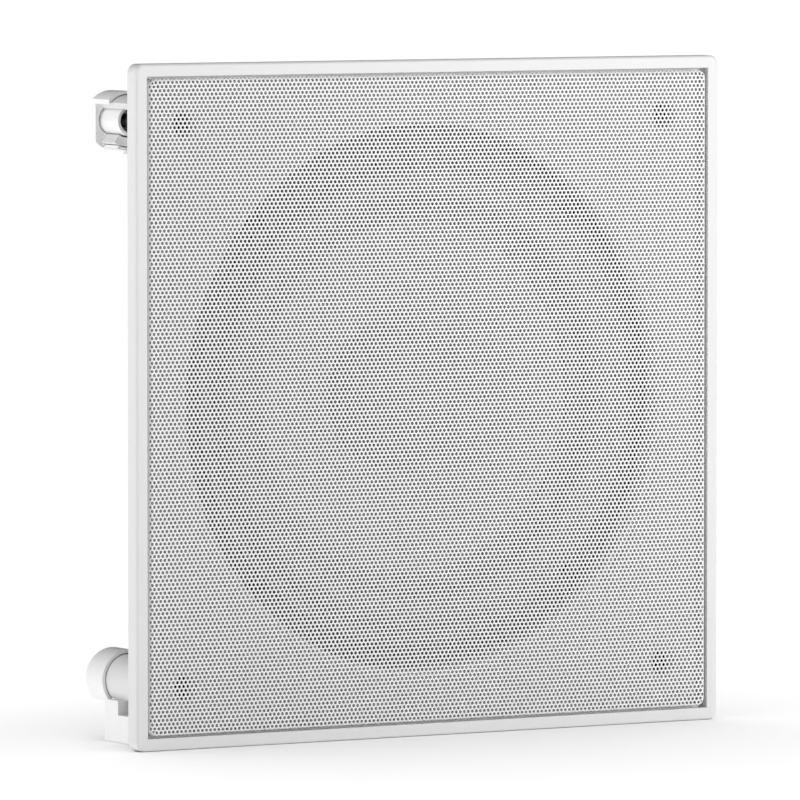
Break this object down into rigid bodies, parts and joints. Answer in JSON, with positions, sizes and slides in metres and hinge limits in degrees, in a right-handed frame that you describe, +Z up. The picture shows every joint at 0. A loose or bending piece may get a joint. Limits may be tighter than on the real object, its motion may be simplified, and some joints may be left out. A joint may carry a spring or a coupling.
{
  "type": "in-wall loudspeaker",
  "caption": "Square white flush-mount loudspeaker for a wall, with a perforated steel grille, a full-range driver and turn-out corner clamps worked by screws from the front.",
  "frame": {"origin": "middle of the wall plane, where the back of the flange meets the wall", "axes": "+X across, to the right as the grille is faced; +Y back into the wall; +Z up"},
  "size_m": [0.217, 0.0735, 0.217],
  "materials": {
    "white_moulding": "satin white moulded ABS",
    "grille_paint": "white powder coat on perforated steel",
    "magnet_plating": "nickel plating",
    "clamp_white": "white moulded nylon",
    "screw_black": "black oxide",
    "gasket_foam": "closed-cell foam",
    "basket_steel": "black powder coat",
    "surround_rubber": "matt butyl rubber",
    "cone_pulp": "pressed pulp, dark grey",
    "dust_cap_cloth": "doped cloth",
    "former_alloy": "bare foil",
    "coil_wire": "enamelled copper wire",
    "spider_cloth": "resin-dipped cotton",
    "zinc_plate": "zinc plating",
    "ferrite": "ground ferrite",
    "terminal_black": "black moulded ABS",
    "lever_red": "red moulded acetal",
    "lever_black": "black moulded acetal",
    "tag_board": "pressed phenolic board",
    "tag_tin": "tinned brass"
  },
  "bodies": {
    "root": {"baffle_frame": "white_moulding", "grille": "grille_paint", "grille_magnets": "magnet_plating", "driver_gasket": "gasket_foam", "basket": "basket_steel", "surround": "surround_rubber", "spider": "spider_cloth", "top_plate": "zinc_plate", "ferrite_ring": "ferrite", "pole_yoke": "zinc_plate", "driver_screws": "screw_black", "terminal_block": "terminal_black", "terminal_screws": "screw_black", "tag_strip": "tag_board", "tag_lugs": "tag_tin", "clamp_cap_top_left": "clamp_white", "clamp_cap_bottom_left": "clamp_white", "clamp_cap_bottom_right": "clamp_white", "clamp_cap_top_right": "clamp_white"},
    "moving_cone": {"cone": "cone_pulp", "dust_cap": "dust_cap_cloth", "coil_former": "former_alloy", "voice_coil": "coil_wire"},
    "terminal_lever_red": {"terminal_lever_red": "lever_red"},
    "terminal_lever_black": {"terminal_lever_black": "lever_black"},
    "clamp_screw_top_left": {"clamp_screw_top_left": "screw_black"},
    "clamp_dog_top_left": {"clamp_dog_top_left": "clamp_white"},
    "clamp_screw_bottom_left": {"clamp_screw_bottom_left": "screw_black"},
    "clamp_dog_bottom_left": {"clamp_dog_bottom_left": "clamp_white"},
    "clamp_screw_bottom_right": {"clamp_screw_bottom_right": "screw_black"},
    "clamp_dog_bottom_right": {"clamp_dog_bottom_right": "clamp_white"},
    "clamp_screw_top_right": {"clamp_screw_top_right": "screw_black"},
    "clamp_dog_top_right": {"clamp_dog_top_right": "clamp_white"}
  },
  "joints": [
    {"name": "clamp_turn_top_left", "type": "hinge", "parent": "root", "child": "clamp_screw_top_left", "pos_m": [-0.0893, 0, 0.0893], "axis": [0, 1, 0], "range_deg": [0, 135]},
    {"name": "clamp_draw_top_left", "type": "slide", "parent": "clamp_screw_top_left", "child": "clamp_dog_top_left", "axis": [0, -1, 0], "range_m": [0, 0.0095]},
    {"name": "clamp_turn_bottom_left", "type": "hinge", "parent": "root", "child": "clamp_screw_bottom_left", "pos_m": [-0.0893, 0, -0.0893], "axis": [0, 1, 0], "range_deg": [-135, 0]},
    {"name": "clamp_draw_bottom_left", "type": "slide", "parent": "clamp_screw_bottom_left", "child": "clamp_dog_bottom_left", "axis": [0, -1, 0], "range_m": [0, 0.0095]},
    {"name": "clamp_turn_bottom_right", "type": "hinge", "parent": "root", "child": "clamp_screw_bottom_right", "pos_m": [0.0893, 0, -0.0893], "axis": [0, 1, 0], "range_deg": [0, 135]},
    {"name": "clamp_draw_bottom_right", "type": "slide", "parent": "clamp_screw_bottom_right", "child": "clamp_dog_bottom_right", "axis": [0, -1, 0], "range_m": [0, 0.0095]},
    {"name": "clamp_turn_top_right", "type": "hinge", "parent": "root", "child": "clamp_screw_top_right", "pos_m": [0.0893, 0, 0.0893], "axis": [0, 1, 0], "range_deg": [0, 135]},
    {"name": "clamp_draw_top_right", "type": "slide", "parent": "clamp_screw_top_right", "child": "clamp_dog_top_right", "axis": [0, -1, 0], "range_m": [0, 0.0095]},
    {"name": "cone_stroke", "type": "slide", "parent": "root", "child": "moving_cone", "axis": [0, -1, 0], "range_m": [-0.003, 0.003], "stiffness_N_per_m": 1000, "deforming": ["surround", "spider"]},
    {"name": "lever_press_red", "type": "hinge", "parent": "root", "child": "terminal_lever_red", "pos_m": [-0.0095, 0.024, -0.0795], "axis": [-1, 0, 0], "range_deg": [0, 15], "stiffness_Nm_per_rad": 0.05},
    {"name": "lever_press_black", "type": "hinge", "parent": "root", "child": "terminal_lever_black", "pos_m": [0.0095, 0.024, -0.0795], "axis": [-1, 0, 0], "range_deg": [0, 15], "stiffness_Nm_per_rad": 0.05}
  ]
}
